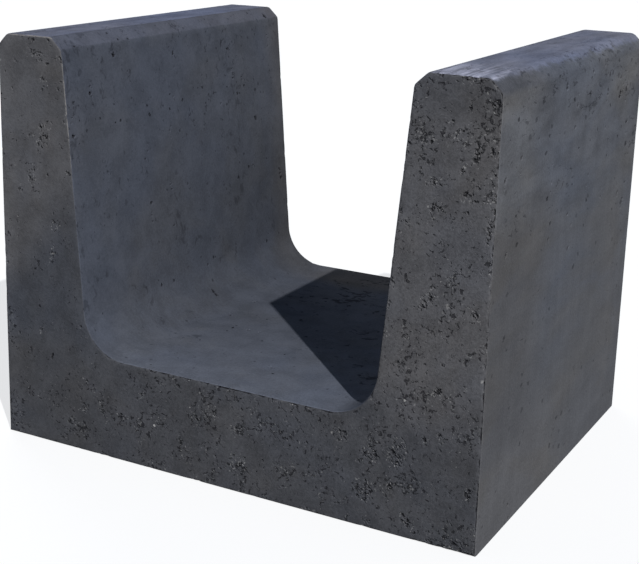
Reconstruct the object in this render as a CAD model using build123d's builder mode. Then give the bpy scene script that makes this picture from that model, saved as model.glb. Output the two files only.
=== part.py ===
"""Concrete U-block: one cast piece, a U section carried straight along its length.

Millimetres, +Z up. X runs across the two legs and Y along the channel between them.
The origin is the centre of the underside, so the block stands on Z = 0.
"""

import os

from build123d import *

# Overall size
block_width = 500.0  # across both legs, along X
block_length = 400.0  # along the channel, along Y
block_height = 400.0  # from the underside to the leg tops, along Z

# The U section
base_thickness = 100.0  # under the channel floor
leg_foot_thickness = 100.0  # where a leg's inner face would run down to the channel floor
leg_top_thickness = 74.0  # at the leg's top plane, before its chamfers
channel_fillet_radius = 45.0  # between the channel floor and each leg
leg_top_chamfer = 11.0  # along both long edges of each leg top
arris_radius = 1.5  # on the edges around both end faces

half_width = block_width / 2
channel_half_width_at_floor = half_width - leg_foot_thickness
channel_half_width_at_top = half_width - leg_top_thickness

with BuildPart() as u_block:
    with BuildSketch(Plane.XZ) as section:
        with BuildLine():
            Polyline(
                (-half_width, 0),
                (half_width, 0),
                (half_width, block_height),
                (channel_half_width_at_top, block_height),
                (channel_half_width_at_floor, base_thickness),
                (-channel_half_width_at_floor, base_thickness),
                (-channel_half_width_at_top, block_height),
                (-half_width, block_height),
                close=True,
            )
        make_face()
        levels = section.vertices().group_by(Axis.Y)
        channel_corners = levels[1]
        leg_top_corners = levels[-1]
        chamfer(leg_top_corners, leg_top_chamfer)
        fillet(channel_corners, channel_fillet_radius)
    extrude(amount=block_length / 2, both=True)
    end_faces = u_block.faces().filter_by(Axis.Y)
    fillet(end_faces.edges(), arris_radius)

u_block.part.label = "u_block"

os.makedirs("parts", exist_ok=True)
export_step(u_block.part, "parts/u_block.step")
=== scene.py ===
import itertools
import math

import bpy
import numpy as np
from bpy.props import FloatProperty, FloatVectorProperty, IntProperty, PointerProperty
from mathutils import Matrix, Vector


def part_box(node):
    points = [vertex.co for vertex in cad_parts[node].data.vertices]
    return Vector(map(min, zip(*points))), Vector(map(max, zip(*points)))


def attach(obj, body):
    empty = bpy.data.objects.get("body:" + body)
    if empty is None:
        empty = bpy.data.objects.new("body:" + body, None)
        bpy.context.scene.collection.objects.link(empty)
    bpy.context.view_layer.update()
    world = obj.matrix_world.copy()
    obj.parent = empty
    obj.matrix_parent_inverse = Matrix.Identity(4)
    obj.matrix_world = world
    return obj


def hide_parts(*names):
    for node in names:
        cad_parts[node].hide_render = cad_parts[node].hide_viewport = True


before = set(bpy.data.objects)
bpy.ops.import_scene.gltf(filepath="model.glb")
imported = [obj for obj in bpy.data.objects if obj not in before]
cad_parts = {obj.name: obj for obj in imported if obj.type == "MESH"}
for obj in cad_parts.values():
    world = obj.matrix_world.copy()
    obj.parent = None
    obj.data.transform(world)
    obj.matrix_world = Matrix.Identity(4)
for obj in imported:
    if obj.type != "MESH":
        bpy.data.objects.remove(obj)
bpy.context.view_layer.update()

bl_info = {
    "name": "Concrete U-Block",
    "version": (1, 0, 0),
    "blender": (4, 5, 0),
    "location": "View3D > Sidebar > U-Block",
    "description": "Casts a concrete U-block with crumbly ends and worn arrises, and lights it",
    "category": "Object",
}

NODE = "u_block"
BODY = "root"
PIECE = "u_block_casting"
IMAGE_WIDTH = 639
BOX_LOW, BOX_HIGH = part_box(NODE)
MM = 0.001

# Crumbly patches that show most on the front face: x, z, half length and half width in mm, slope in degrees
FRONT_PATCHES = (
    (175, 75, 16, 11, 80),
    (150, 70, 12, 6, -20),
    (146, 36, 14, 12, 60),
    (169, 41, 12, 4, 80),
    (122, 80, 9, 8, 0),
    (185, 16, 13, 5, -45),
    (149, 6, 6, 5, -60),
    (201, 94, 7, 3, 75),
    (214, 97, 8, 3, -55),
    (240, 54, 7, 4, 70),
    (-156, 45, 8, 6, 30),
    (-134, 47, 13, 4, -60),
    (-67, 50, 6, 5, 70),
    (-171, 27, 6, 5, 0),
    (-27, 60, 8, 5, -45),
    (-9, 73, 9, 7, 0),
    (18, 61, 8, 7, 45),
    (-44, 33, 15, 4, -75),
    (17, 28, 13, 11, 45),
    (36, 88, 12, 4, 75),
    (215, 354, 6, 5, 40),
    (231, 339, 12, 4, 85),
    (222, 326, 8, 4, 40),
    (198, 313, 9, 5, 10),
    (198, 291, 8, 7, 60),
    (224, 305, 6, 5, 70),
    (245, 345, 9, 3, 90),
    (244, 310, 14, 5, 90),
    (246, 280, 12, 4, 90),
    (222, 396, 14, 4, -5),
    (232, 6, 15, 5, -15),
    (196, 215, 14, 5, 55),
    (235, 210, 8, 5, -40),
    (234, 172, 11, 3, 85),
    (-207, 384, 11, 4, 0),
    (-196, 359, 7, 4, -50),
    (-198, 306, 19, 8, 60),
    (-213, 267, 14, 4, 80),
    (-187, 222, 7, 5, 0),
    (-190, 195, 10, 5, 70),
)

# Worn stretches of an end's arris, seen from that end: x and z of the middle and reach each way in mm, then
# how far the arris has crumbled, has a groove beneath it and is rubbed pale
WORN_STRETCHES = (
    (250, 290, 10, 100, 0.8, 0.6, 0.0),
    (250, 90, 10, 130, 0.3, 1.0, 0.0),
    (242, 391, 16, 14, 0.5, 0.8, 0.0),
    (228, 400, 22, 6, 0.9, 0.9, 0.0),
    (195, 400, 22, 6, 0.2, 0.7, 0.0),
    (20, 100, 170, 12, 0.2, 0.9, 0.0),
    (112, 104, 35, 12, 0.1, 1.1, 0.0),
    (-128, 116, 24, 22, 0.1, 1.1, 0.0),
    (235, 0, 35, 8, 1.1, 0.6, 0.0),
    (149, 0, 9, 8, 1.3, 0.5, 0.0),
    (-40, 0, 230, 4, 0.35, 0.3, 0.0),
    (165, 250, 18, 170, 0.45, 0.3, 0.0),
    (-250, 200, 8, 220, 0.35, 0.2, 0.2),
    (-170, 335, 18, 90, 0.2, 0.0, 1.3),
    (-210, 400, 40, 6, 0.2, 0.0, 2.2),
)


def number(name, description, default):
    """A plain number property."""
    return FloatProperty(name=name, description=description, default=default)


def whole_number(name, description, default):
    """A whole number property."""
    return IntProperty(name=name, description=description, default=default)


def length(name, description, default):
    """A length property in metres."""
    return FloatProperty(
        name=name, description=description, default=default, min=0.0, unit="LENGTH", precision=4
    )


def angle(name, description, degrees):
    """An angle property, given in degrees."""
    return FloatProperty(name=name, description=description, default=math.radians(degrees), subtype="ANGLE")


def triple(name, description, default, subtype="XYZ"):
    """A direction or a place."""
    return FloatVectorProperty(name=name, description=description, default=default, subtype=subtype)


def colour(name, description, default):
    """A linear colour property."""
    return FloatVectorProperty(
        name=name, description=description, default=default, size=3, min=0.0, max=2.0, subtype="COLOR"
    )


def tint(name, description, default):
    """A colour that multiplies the skin's own."""
    return colour(name, f"{description}, as a share of the skin", default)


class BlockSizes(bpy.types.PropertyGroup):
    """Sizes of the cast section."""

    width: length("Width", "Across both legs", BOX_HIGH.x - BOX_LOW.x)
    depth: length("Length", "Along the channel", BOX_HIGH.y - BOX_LOW.y)
    height: length("Height", "Underside to leg tops", BOX_HIGH.z - BOX_LOW.z)
    base: length("Base", "Thickness under the channel floor", 100 * MM)
    leg_foot: length("Leg foot", "Leg thickness at the channel floor", 100 * MM)
    leg_top: length("Leg top", "Leg thickness at the top plane, before the chamfers", 74 * MM)
    fillet: length("Fillet", "Radius between the channel floor and a leg", 45 * MM)
    chamfer: length("Chamfer", "Along both long edges of each leg top", 11 * MM)
    inner_ease: length("Inner ease", "Rounding of the inner chamfers' edges", 2.0 * MM)
    outer_ease: length("Outer ease", "Rounding of the outer chamfers' edges", 3.5 * MM)
    arris: length("Arris", "Width of the plain worn arris round both end faces", 1.4 * MM)


class ReliefSettings(bpy.types.PropertyGroup):
    """How rough the casting is."""

    seed: whole_number("Seed", "Start of the random draws", 11)
    front_patches: whole_number("Front patches", "Small patches added on the front", 22)
    back_patches: whole_number("Back patches", "Crumbly patches on the back", 33)
    patch: length("Patch", "Half length of the largest random patch", 13 * MM)
    grain: length("Grain", "Size of the grains in a crumbly patch", 3.1 * MM)
    crumb: length("Crumb", "Depth of the gaps between those grains", 1.6 * MM)
    single_pits: whole_number("Single pits", "Scattered pits on each end face", 90)
    pinholes: whole_number("Pinholes", "Groups of air holes on the mould faces", 150)
    pit_small: length("Smallest pit", "Radius of the smallest pit", 0.55 * MM)
    pit_large: length("Largest pit", "Radius of the largest pit", 1.5 * MM)
    pinhole_small: length("Smallest pinhole", "Radius of the smallest air hole", 0.8 * MM)
    pinhole_large: length("Largest pinhole", "Radius of the largest air hole", 2.4 * MM)
    chip: length("Chip", "Width that a full bite adds to the arris", 3.2 * MM)
    edge_band: length("Edge band", "Width of the crumbly band along worn arrises", 7 * MM)
    lip: length("Lip", "From the arris to the groove beneath its lip", 1.2 * MM)
    groove: length("Groove", "Depth of that groove", 1.4 * MM)


class ConcreteColours(bpy.types.PropertyGroup):
    """Colours of the dark through-dyed concrete."""

    mould_face: colour("Mould face", "Smooth outer skin", (0.0930, 0.0945, 0.1015))
    channel_face: colour("Channel face", "Darker skin inside the channel", (0.060, 0.065, 0.079))
    end_face: colour("End face", "Rough open skin", (0.083, 0.082, 0.086))
    cool_tint: tint("Cool tint", "Blue stain", (0.92, 0.98, 1.08))
    warm_tint: tint("Warm tint", "Brown stain", (1.06, 1.00, 0.90))
    # Darker tint: partly damp and partly painted shade on the end faces' feet, a darker right head and a
    # darker back left of the channel floor
    damp_and_shade_tint: tint("Damp tint", "Dark stain on the end faces and the channel floor", (0.70, 0.72, 0.75))
    # Paler, warmer skin at the foot of the outer sides near the front
    paler_foot_tint: tint("Dry tint", "At the foot of the outer sides near the front", (1.12, 1.09, 1.05))
    # Painted shade halfway up the outer sides near the front
    halfway_shade_tint: tint("Dull tint", "Halfway up the outer sides near the front", (0.90, 0.89, 0.88))
    # Brown stain near the channel's back; a second share on the floor's right is painted warm bounce light
    back_stain_and_bounce_tint: tint("Back tint", "Near the channel's back", (1.13, 1.05, 0.94))
    # Painted light: the channel's chamfers paler, for their upward slope
    chamfer_light_tint: tint("Head tint", "On the channel's chamfers", (1.15, 1.12, 1.14))
    bleached_tint: tint("Bleached tint", "High on the outer sides near both ends", (1.20, 1.16, 1.09))
    # Darker outer chamfers and a darker left leg top
    darker_tint: tint("Grimy tint", "On the outer chamfers and the left leg's top", (0.74, 0.75, 0.78))
    # Leg tops: pale trowelled skin with painted bluish sky sheen
    top_and_sheen_tint: tint("Top tint", "On the leg tops", (1.29, 1.33, 1.58))
    # Pale brushed streaks on the leg tops: partly pale skin, partly painted sky sheen
    bloom_and_sheen: colour("Bloom", "Pale bloom on the leg tops", (0.295, 0.300, 0.365))
    fleck: colour("Fleck", "Light sand grains", (0.260, 0.255, 0.250))
    grit: colour("Grit", "Rare pale stones bared on the end faces", (0.34, 0.33, 0.32))
    worn_edge: colour("Worn edge", "Rubbed arris", (0.200, 0.187, 0.178))
    # Dark bottom of pits, pores and crumbs: partly dirt, partly painted shade
    pit: colour("Pit", "Bottom of a pit", (0.010, 0.010, 0.012))


class StageSettings(bpy.types.PropertyGroup):
    """Light, floor and camera."""

    key_strength: number("Key", "Irradiance of the key light", 3.8)
    key_softness: angle("Key softness", "Angle that the key light spans", 0.6)
    key_towards: triple("Key direction", "From the block to the key light", (0.575, -0.518, 0.634))
    fill_strength: number("Fill", "Irradiance of the fill from behind", 2.0)
    fill_softness: angle("Fill softness", "Angle that the fill spans", 40.0)
    fill_towards: triple("Fill direction", "From the block to the fill", (-0.72, 0.67, 0.16))
    sky: colour("Sky", "Light of the even surround", (0.210, 0.252, 0.325))
    floor: colour("Floor", "Floor under the block", (0.30, 0.30, 0.30))
    floor_glow: number("Floor glow", "How far the floor is lifted to white", 0.68)
    camera_place: triple("Camera", "Where the camera stands", (0.6014, -1.1705, 0.5419), "TRANSLATION")
    camera_azimuth: angle("Azimuth", "Camera's heading, from +Y towards -X", 29.706)
    camera_elevation: angle("Elevation", "How far the camera looks down", 14.538)
    camera_roll: angle("Roll", "How far the camera's right side is raised", 1.124)
    focal_pixels: number("Focal length", "In pixels of the image", 1347.1)
    shift_x: number("Shift X", "Framing to the right, as a share of the width", 0.0775)
    shift_y: number("Shift Y", "Framing upwards, as a share of the width", -0.0814)


# Section grid

# The coarsest cell is this many doublings of the finest, and each stretch is a whole number of coarsest cells
COARSEST = 5
CELL = 2**COARSEST
BASE_STEPS = 8 * CELL
LEG_STEPS = 12 * CELL
CHAMFER_STEPS = CELL
ACROSS_STEPS = 4 * CELL
ALONG_STEPS = 13 * CELL
RIM_LEVEL = 2
RIM_STEPS = 2**RIM_LEVEL
RIM_WIDTH = 1.0 * MM
CORNER_POINTS = 17
ARC_POINTS = 65


def even_steps(path, steps):
    """Points at even arc length along a polyline, each coordinate interpolated over the summed chords."""
    chord = np.hypot(*np.diff(path, axis=0).T)
    run = np.concatenate(([0.0], np.cumsum(chord)))
    places = np.linspace(0.0, run[-1], steps + 1)
    return np.column_stack([np.interp(places, run, path[:, axis]) for axis in (0, 1)])


def bordered_steps(span, steps):
    """Distances along a span: a rim of a few narrow steps at both of its ends, and even steps between."""
    step = np.arange(steps + 1)
    even = RIM_WIDTH + (step - RIM_STEPS) * (span - 2 * RIM_WIDTH) / (steps - 2 * RIM_STEPS)
    first = step * RIM_WIDTH / RIM_STEPS
    last = span - (steps - step) * RIM_WIDTH / RIM_STEPS
    return np.where(step < RIM_STEPS, first, np.where(step > steps - RIM_STEPS, last, even))


def eased_corner(before, corner, after, reach):
    """A parabola round a corner, from the line that comes to it to the line that leaves it, at that reach."""
    before, corner, after = (np.asarray(point, float) for point in (before, corner, after))
    start = corner + reach * (before - corner) / np.linalg.norm(before - corner)
    end = corner + reach * (after - corner) / np.linalg.norm(after - corner)
    share = np.linspace(0.0, 1.0, CORNER_POINTS)[:, None]
    return (1 - share) ** 2 * start + 2 * share * (1 - share) * corner + share**2 * end


def half_section(sizes):
    """Right half of the U as an inner and an outer line, point for point, from the middle to the leg top.

    The fillet is an arc between the floor and the leaning wall. Its middle answers to the outer bottom
    corner, each chamfer's two edges are eased, and each stretch has evenly spaced points.
    """
    half = sizes.width / 2
    lean = math.atan2(sizes.leg_foot - sizes.leg_top, sizes.height - sizes.base)
    turn = math.pi / 2 - lean
    back = sizes.fillet * math.tan(turn / 2)
    centre = np.array([half - sizes.leg_foot - back, sizes.base + sizes.fillet])
    swing = np.linspace(0.0, turn, ARC_POINTS)
    arc = centre + sizes.fillet * np.column_stack([np.sin(swing), -np.cos(swing)])
    middle = len(arc) // 2
    top_middle = (half - sizes.leg_top / 2, sizes.height)
    inner_edge = np.array([half - sizes.leg_top, sizes.height])
    inner_foot = inner_edge - sizes.chamfer * np.array([math.sin(lean), math.cos(lean)])
    inner_head = inner_edge + (sizes.chamfer, 0.0)
    outer_foot = (half, sizes.height - sizes.chamfer)
    outer_head = (half - sizes.chamfer, sizes.height)

    def line(floor, wall, foot, head, ease):
        chamfer = np.vstack([
            eased_corner(wall[-1], foot, head, ease),
            eased_corner(foot, head, top_middle, ease),
        ])
        stretches = (
            even_steps(np.asarray(floor, float), BASE_STEPS),
            even_steps(np.vstack([wall, chamfer[:1]]), LEG_STEPS)[1:],
            even_steps(chamfer, CHAMFER_STEPS)[1:],
        )
        return np.vstack(stretches)

    inner_floor = np.vstack([(0.0, sizes.base), arc[: middle + 1]])
    inner = line(inner_floor, arc[middle:], inner_foot, inner_head, sizes.inner_ease)
    outer = line([(0.0, 0.0), (half, 0.0)], np.array([(half, 0.0)]), outer_foot, outer_head, sizes.outer_ease)
    return inner, outer


def mirrored(line):
    """The whole line, from the left leg top to the right one."""
    return np.vstack([line[:0:-1] * (-1.0, 1.0), line])


def section_grid(sizes):
    """End face as a ruled grid of x and z: straight rungs from the inner line to the outer one."""
    inner, outer = (mirrored(line) for line in half_section(sizes))
    rung = outer - inner
    span = np.linalg.norm(rung, axis=1, keepdims=True)
    share = bordered_steps(span, ACROSS_STEPS) / span
    return inner[:, None] + share[..., None] * rung[:, None]


def rim(grid):
    """The grid's border as one closed loop: inner line, right leg top, outer line, left leg top."""
    return np.concatenate([grid[:-1, 0], grid[-1, :-1], grid[:0:-1, -1], grid[0, :0:-1]])


def inward_normals(loop):
    """Unit normals of a closed outline, into the concrete: the central difference turned by a right angle."""
    along = np.roll(loop, -1, axis=0) - np.roll(loop, 1, axis=0)
    normal = np.column_stack([along[:, 1], -along[:, 0]])
    return normal / np.linalg.norm(normal, axis=1, keepdims=True)


# Random fields

HASH_FACTORS = (73856093, 19349663, 83492791)
SEED_STRIDE = 668265
FIRST_MIX, SECOND_MIX = 2654435761, 2246822519


def hashed(cell, seed):
    """A random share from 0 to 1 for each lattice cell: its whole numbers mixed by products and shifts."""
    key = np.zeros(cell.shape[:-1], np.uint32)
    for axis, factor in zip(range(cell.shape[-1]), HASH_FACTORS):
        key ^= cell[..., axis].astype(np.uint32) * np.uint32(factor)
    key = (key + np.uint32(seed * SEED_STRIDE)) * np.uint32(FIRST_MIX)
    key = (key ^ (key >> np.uint32(15))) * np.uint32(SECOND_MIX)
    return (key ^ (key >> np.uint32(13))) / 2.0**32


def lattice_noise(points, size, seed):
    """Smooth noise from -1 to 1: hashed heights on a cubic lattice of that size, blended by a cubic ease."""
    scaled = points / size
    cell = np.floor(scaled).astype(np.int64)
    part = scaled - cell
    ease = part * part * (3 - 2 * part)
    total = np.zeros(points.shape[:-1])
    for corner in itertools.product((0, 1), repeat=3):
        share = np.prod(np.where(corner, ease, 1 - ease), axis=-1)
        total += (2 * hashed(cell + corner, seed) - 1) * share
    return total


def grain_distances(points, size, seed):
    """Distances, in grains, to the nearest and the next grain centre, and a share drawn for the nearest.

    The centres are one for each square of an x and z lattice, each moved about in its square.
    """
    flat = points[..., [0, 2]] / size
    cell = np.floor(flat).astype(np.int64)
    nearest = np.full(flat.shape[:-1], np.inf)
    second = nearest.copy()
    drawn = np.zeros_like(nearest)
    for step in itertools.product((-1, 0, 1), repeat=2):
        here = cell + step
        centre = here + np.stack([hashed(here, seed), hashed(here, seed + 1)], axis=-1)
        distance = np.linalg.norm(centre - flat, axis=-1)
        closer = distance < nearest
        second = np.where(closer, nearest, np.minimum(second, distance))
        drawn = np.where(closer, hashed(here, seed + 2), drawn)
        nearest = np.minimum(nearest, distance)
    return nearest, second, drawn


# Relief

# Offsets from the seed, so that each kind of mark has its own random draws
PINHOLE_SEED, PINHOLE_SHAPE_SEED, ARRIS_SEED = 0, 1, 2
PATCH_SEED, PATCH_RIM_SEED, LOOSE_EDGE_SEED = 40, 50, 55
CRUMB_SEED, PIT_SEED, PIT_SHAPE_SEED, GROOVE_SEED = 60, 70, 80, 90

# Pits: grid steps that one may reach each way, its longest stretch, how ragged it is and over what size, the
# share of the radius that its wall takes, the spread of depths and how far the radii lean to the small ones
PIT_STEPS = 7
PIT_STRETCH = 0.85
PIT_RAGGED, PIT_RAGGED_SIZE = 0.55, 1.5 * MM
PIT_WALL = 0.45
PIT_DEPTHS = (0.5, 1.5)
PIT_SKEW = 1.6

# Depth of a pit as a share of its radius, on the end faces and on the mould faces
PIT_STEEPNESS, PINHOLE_STEEPNESS = 0.8, 0.9

# Crumbly patches: shares of the largest length, of a patch's width in its length, and how far the rim wanders
PATCH_LENGTHS, FRONT_LENGTH = (0.3, 1.0), 0.6
PATCH_WIDTHS = (0.25, 0.8)
PATCH_DRIFT, PATCH_DRIFT_SIZE = 2.8 * MM, 6 * MM

# Grains: how far they wander, the size of loose spots, how far patches and loose spots open them, the gaps
# between them and the holes of dropped ones, with the depth of each and how it grows as they open
GRAIN_DRIFT, GRAIN_DRIFT_SIZE = 0.9 * MM, 2.6 * MM
LOOSE_SIZE = 3.6 * MM
OPEN_IN_PATCH, OPEN_IN_SPOT = 0.8, 0.9
GAP_LIMIT, GAP_WALL, GAP_DEPTH, GAP_GROWTH = 0.26, 0.2, 0.3, 0.7
HOLE_LIMIT, HOLE_WALL, HOLE_DEPTH, HOLE_GROWTH = 0.55, 0.25, 0.5, 0.4
DROPPED = 0.36

# Groups of air holes: holes in the largest, its height and width and its least distance from the ends in grid
# steps, how likely one is at the underside, how that grows with height, and how the outer skin differs
GROUP_HOLES, GROUP_HEIGHT, GROUP_WIDTH, GROUP_MARGIN = 4, 10, 2, 8
LOWEST_LIKELIHOOD, LIKELIHOOD_RISE = 0.08, 2.5
OUTER_LIKELIHOOD, OUTER_STRETCH = 1.7, 4.0

# Arrises: how far the wear reaches, the sizes of the chips' noise, the weights of the wear and of slow noise
# and the limit past which chips open, what is added to quick noise, and the plain and the ragged width
ARRIS_REACH = 6 * MM
SLOW_CHIPS, QUICK_CHIPS, FINE_CHIPS = 15 * MM, 4 * MM, 1.9 * MM
CHIP_WEAR, CHIP_NOISE, CHIP_LIMIT = 0.9, 0.7, 0.45
CHIP_LIFT = 0.35
CHIP_WIDTH, CHIP_RAGGED = 0.8, 0.5

# Grooves beneath lips: their width, the sizes of the noise that moves, breaks and roughens them, how far it
# moves and roughens them, and the weights of noise and wear, the limit and the slope of the breaks
GROOVE_WIDTH = 0.9 * MM
GROOVE_WANDER, GROOVE_BREAKS, GROOVE_RAGGED = 9 * MM, 7 * MM, 2 * MM
WANDER_SHARE, RAGGED_SHARE = 0.5, 0.7
BREAK_NOISE, BREAK_WEAR, BREAK_LIMIT, BREAK_SLOPE = 0.7, 0.9, 0.4, 1.6

# Loose stretches along arrises: the size of their noise, the weights of wear and noise, and their limit
LOOSE_EDGE_SIZE = 9 * MM
LOOSE_EDGE_WEAR, LOOSE_EDGE_NOISE, LOOSE_EDGE_LIMIT = 1.3, 0.6, 0.3


def sink_pits(points, depth, centre, radius, steepness, stretch, seed, wraps=False):
    """Sinks ragged pits into a depth grid.

    Around each centre a window of the grid gets its distance in radii, stretched along a random direction
    whose parts along the axes are weighted as given, and made ragged by noise. A pit is flat inside and its
    wall falls over the outer part of the radius. Its depth is the radius times a share drawn about the
    steepness.
    """
    rng = np.random.default_rng(seed)
    count = len(radius)
    reach = np.arange(-PIT_STEPS, PIT_STEPS + 1)
    row = centre[:, 0, None, None] + reach[None, :, None] + 0 * reach[None, None, :]
    column = centre[:, 1, None, None] + reach[None, None, :] + 0 * reach[None, :, None]
    rows, columns = depth.shape
    if wraps:
        row = row % rows
    inside = (row >= 0) & (row < rows) & (column >= 0) & (column < columns)
    row, column = np.clip(row, 0, rows - 1), np.clip(column, 0, columns - 1)
    here = points[row, column]
    offset = here - points[centre[:, 0], centre[:, 1]][:, None, None]
    direction = rng.normal(size=(count, 3)) * stretch
    direction /= np.linalg.norm(direction, axis=1, keepdims=True)
    along = np.einsum("kijc,kc->kij", offset, direction)
    squeeze = rng.uniform(0.0, PIT_STRETCH, count)[:, None, None]
    distance = np.sqrt(np.maximum((offset**2).sum(-1) - squeeze * along**2, 0.0)) / radius[:, None, None]
    distance += PIT_RAGGED * lattice_noise(here, PIT_RAGGED_SIZE, seed)
    bottom = (steepness * radius * rng.uniform(*PIT_DEPTHS, count))[:, None, None]
    sunk = bottom * np.clip((1 - distance) / PIT_WALL, 0.0, 1.0) * inside
    np.maximum.at(depth, (row, column), sunk)


def spread_radii(rng, count, small, large):
    """Radii between two sizes, with many small ones and few large ones."""
    return small * (large / small) ** (rng.random(count) ** PIT_SKEW)


def face_places(rng, grid, count):
    """Random grid places on an end face, as likely as the area of their cells."""
    du, dv = np.diff(grid, axis=0)[:, :-1], np.diff(grid, axis=1)[:-1]
    area = np.abs(du[..., 0] * dv[..., 1] - du[..., 1] * dv[..., 0]).ravel()
    chosen = rng.choice(area.size, count, p=area / area.sum())
    return np.column_stack(np.divmod(chosen, grid.shape[1] - 1))


def end_patches(grid, relief, side):
    """Ellipses of crumbly concrete on an end face: x, z, half length, half width and slope of each."""
    rng = np.random.default_rng(relief.seed + PATCH_SEED + side)
    count = relief.front_patches if side < 0 else relief.back_patches
    row, column = face_places(rng, grid, count).T
    half_length = relief.patch * rng.uniform(*PATCH_LENGTHS, count) * (FRONT_LENGTH if side < 0 else 1.0)
    half_width = half_length * rng.uniform(*PATCH_WIDTHS, count)
    slope = rng.uniform(-90, 90, count)
    patches = np.column_stack([grid[row, column], half_length, half_width, np.radians(slope)])
    if side < 0:
        chosen = np.array(FRONT_PATCHES, float)
        chosen[:, :4] *= MM
        chosen[:, 4] = np.radians(chosen[:, 4])
        patches = np.vstack([chosen, patches])
    return patches


def crumbly_share(points, patches, seed):
    """How far each point lies inside a patch: 1 in the middle of an ellipse, falling by the square to 0 at
    its rim. Noise moves the points first, so the rim is ragged."""
    drift = np.stack([lattice_noise(points, PATCH_DRIFT_SIZE, seed + axis) for axis in (0, 1)], axis=-1)
    flat = points[..., [0, 2]] + PATCH_DRIFT * drift
    share = np.zeros(points.shape[:-1])
    for x, z, half_length, half_width, slope in patches:
        offset = flat - (x, z)
        along = offset[..., 0] * math.cos(slope) + offset[..., 1] * math.sin(slope)
        across = offset[..., 1] * math.cos(slope) - offset[..., 0] * math.sin(slope)
        share = np.maximum(share, 1 - (along / half_length) ** 2 - (across / half_width) ** 2)
    return share


def crumble(points, share, relief, seed):
    """Depth of the gaps between the grains of a crumbly patch.

    A narrow gap is open where the two nearest grain centres are almost equally far, by a limit that noise and
    the patch's share set. A share of the grains has dropped out whole.
    """
    drift = np.stack([lattice_noise(points, GRAIN_DRIFT_SIZE, seed + axis) for axis in (5, 6, 7)], axis=-1)
    nearest, second, drawn = grain_distances(points + GRAIN_DRIFT * drift, relief.grain, seed)
    loose = lattice_noise(points, LOOSE_SIZE, seed + 3)
    opened = np.clip(OPEN_IN_PATCH * share + OPEN_IN_SPOT * loose, 0.0, 1.0)
    gap = np.clip((GAP_LIMIT * opened - (second - nearest)) / GAP_WALL, 0.0, 1.0)
    hole = np.clip((HOLE_LIMIT - nearest) / HOLE_WALL, 0.0, 1.0) * (drawn < DROPPED * opened)
    gap *= GAP_DEPTH + GAP_GROWTH * opened
    hole *= HOLE_DEPTH + HOLE_GROWTH * opened
    return relief.crumb * np.maximum(gap, hole)


def mould_face_pinholes(loop, inner, relief, seed):
    """Centres and radii of the air holes on the mould faces: small upright groups, more of them higher up and
    past the loop's inner line."""
    rng = np.random.default_rng(seed)
    step = np.linalg.norm(np.roll(loop, -1, axis=0) - loop, axis=1)
    height = LOWEST_LIKELIHOOD + (loop[:, 1] / loop[:, 1].max()) ** LIKELIHOOD_RISE
    weight = step * height * np.where(np.arange(len(loop)) < inner, 1.0, OUTER_LIKELIHOOD)
    members = rng.integers(1, GROUP_HOLES + 1, relief.pinholes)
    around = np.repeat(rng.choice(len(loop), relief.pinholes, p=weight / weight.sum()), members)
    along = np.repeat(rng.integers(GROUP_MARGIN, ALONG_STEPS - GROUP_MARGIN + 1, relief.pinholes), members)
    first = np.arange(len(around)) == np.repeat(np.cumsum(members) - members, members)
    around = around + np.where(first, 0, np.rint(GROUP_HEIGHT * rng.normal(size=len(around)))).astype(int)
    along = along + np.where(first, 0, np.rint(GROUP_WIDTH * rng.normal(size=len(along)))).astype(int)
    radius = spread_radii(rng, len(around), relief.pinhole_small, relief.pinhole_large)
    along = np.clip(along, RIM_STEPS, ALONG_STEPS - RIM_STEPS)
    return np.column_stack([around % len(loop), along]), radius


def arris_wear(points, side):
    """How far the arris has crumbled, is grooved and is rubbed at each point of an end: for each kind, the
    highest of the worn stretches' bell curves."""
    x, z = -side * points[..., 0] / MM, points[..., 2] / MM
    kinds = np.zeros((3,) + x.shape)
    for middle_x, middle_z, reach_x, reach_z, *shares in WORN_STRETCHES:
        bell = np.exp(-(((x - middle_x) / reach_x) ** 2) - ((z - middle_z) / reach_z) ** 2)
        kinds = np.maximum(kinds, np.multiply.outer(shares, bell))
    return kinds


def bevel(width, distance):
    """How far a bevel of that width recedes from each face: half of what the width leaves past a distance."""
    return 0.5 * np.maximum(0.0, width - distance)


def arris_bite(points, distance, crumbled, sizes, relief):
    """How far the arris has receded at each point: a bevel as wide as the plain worn arris, plus chips where
    slow noise and the wear are high."""
    seed = relief.seed + ARRIS_SEED
    slow = lattice_noise(points, SLOW_CHIPS, seed)
    quick = lattice_noise(points, QUICK_CHIPS, seed + 1)
    fine = lattice_noise(points, FINE_CHIPS, seed + 2)
    loose = np.clip(CHIP_WEAR * crumbled + CHIP_NOISE * slow - CHIP_LIMIT, 0.0, 1.0)
    chip = loose * np.clip(CHIP_LIFT + quick, 0.0, 1.0)
    width = sizes.arris + relief.chip * chip * (CHIP_WIDTH + CHIP_RAGGED * fine)
    return bevel(width, distance)


def lip_groove(points, distance, grooved, relief, seed):
    """Depth of the broken groove beneath a worn lip: a bell curve of the distance, where noise and the wear
    are high."""
    place = relief.lip * (1 + WANDER_SHARE * lattice_noise(points, GROOVE_WANDER, seed))
    breaks = lattice_noise(points, GROOVE_BREAKS, seed + 1)
    broken = np.clip(BREAK_SLOPE * (BREAK_NOISE * breaks + BREAK_WEAR * grooved - BREAK_LIMIT), 0.0, 1.0)
    ragged = 1 + RAGGED_SHARE * lattice_noise(points, GROOVE_RAGGED, seed + 2)
    return relief.groove * broken * ragged * np.exp(-(((distance - place) / GROOVE_WIDTH) ** 2))


# Graded faces

MOULD_SKIN, CHANNEL_SKIN, END_SKIN = range(3)

# Change of relief over a cell that asks for the finest cells and for the next ones
FINEST_CHANGE, NEXT_CHANGE = 0.38 * MM, 0.185 * MM

# Turn of the outline from one grid line to the next, as 1 less its cosine, that asks for smaller cells
BENT, SHARPLY_BENT = 1e-6, 1e-3
BENT_LEVEL = 3

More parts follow.
